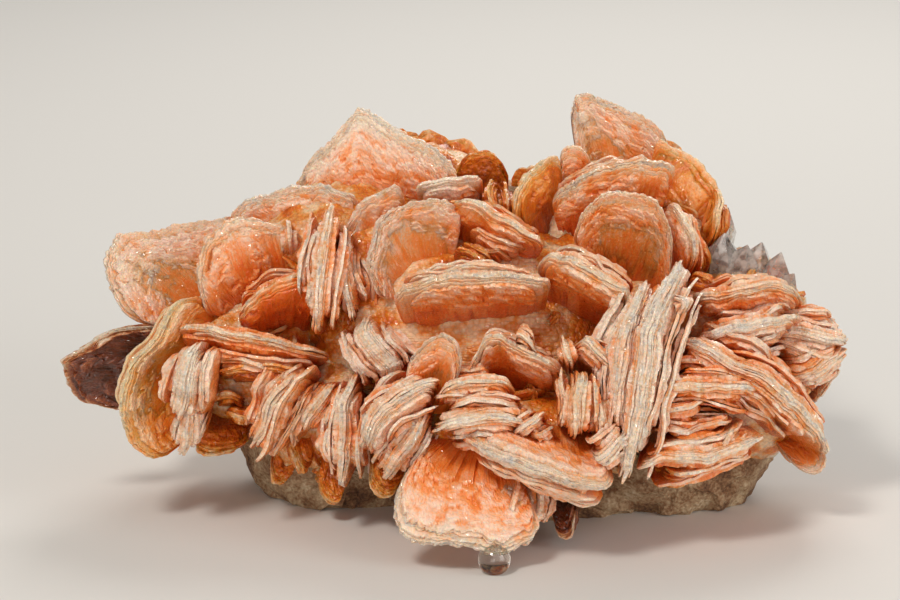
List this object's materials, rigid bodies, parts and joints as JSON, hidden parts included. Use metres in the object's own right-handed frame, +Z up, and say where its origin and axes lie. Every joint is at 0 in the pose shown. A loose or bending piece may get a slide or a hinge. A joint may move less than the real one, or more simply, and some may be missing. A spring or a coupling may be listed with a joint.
{
  "type": "barite crystal cluster",
  "caption": "Loose cabinet specimen of crested barite: curved pink and orange blades fanned over an amber heart on rough matrix, with clear quartz and a clear knob.",
  "frame": {"origin": "on the flat cut of the matrix, under the middle of the display face", "axes": "+X to the right of a viewer facing the display face, -Y towards that viewer, +Z up"},
  "size_m": [0.1782, 0.1064, 0.0884],
  "materials": {
    "pink_barite": "satin",
    "orange_barite": "satin",
    "amber_barite": "satin",
    "brown_barite": "satin",
    "matrix_rock": "matte",
    "clear_quartz": "polished"
  },
  "bodies": {
    "root": {"matrix_rock": "matrix_rock", "amber_heart": "amber_barite", "quartz_patch": "clear_quartz", "clear_knob": "clear_quartz", "left_tip_blade": "brown_barite", "left_lobe": "amber_barite", "left_sheaf": "pink_barite", "left_face_plate": "pink_barite", "long_ledge": "orange_barite", "upper_left_crest": "pink_barite", "upper_left_ridge": "pink_barite", "rayed_bowl": "orange_barite", "eyelid_crest": "orange_barite", "spear_blade": "pink_barite", "second_spear": "pink_barite", "white_strut": "pink_barite", "swirl_plate": "pink_barite", "swirl_back_plate": "pink_barite", "cavity_roof": "orange_barite", "top_step": "pink_barite", "top_fan": "amber_barite", "top_round": "orange_barite", "peak_plate": "pink_barite", "amber_plate": "amber_barite", "sweeping_crest": "orange_barite", "round_plate": "orange_barite", "jagged_blade": "orange_barite", "centre_shelf": "orange_barite", "centre_shelf_end": "orange_barite", "front_lobe": "pink_barite", "front_slope": "pink_barite", "front_ridge": "orange_barite", "lens_ledge": "orange_barite", "front_feather": "pink_barite", "front_carpet": "pink_barite", "bottom_lobe": "pink_barite", "tall_sheaf": "pink_barite", "small_block": "orange_barite", "slope_fringe": "orange_barite", "block_crest": "orange_barite", "right_shelf": "orange_barite", "right_feather": "pink_barite", "right_fan": "pink_barite", "side_blade": "brown_barite", "long_diagonal": "pink_barite", "middle_ledge": "pink_barite", "lower_ledge": "pink_barite", "diagonal_blade": "orange_barite", "fibre_fan": "orange_barite", "hanging_sheaf": "pink_barite", "dark_sheaf": "brown_barite", "back_left_crest": "pink_barite", "back_top_left_crest": "pink_barite", "back_top_right_crest": "pink_barite", "back_right_crest": "pink_barite", "back_shoulder_crest": "pink_barite"}
  },
  "joints": []
}
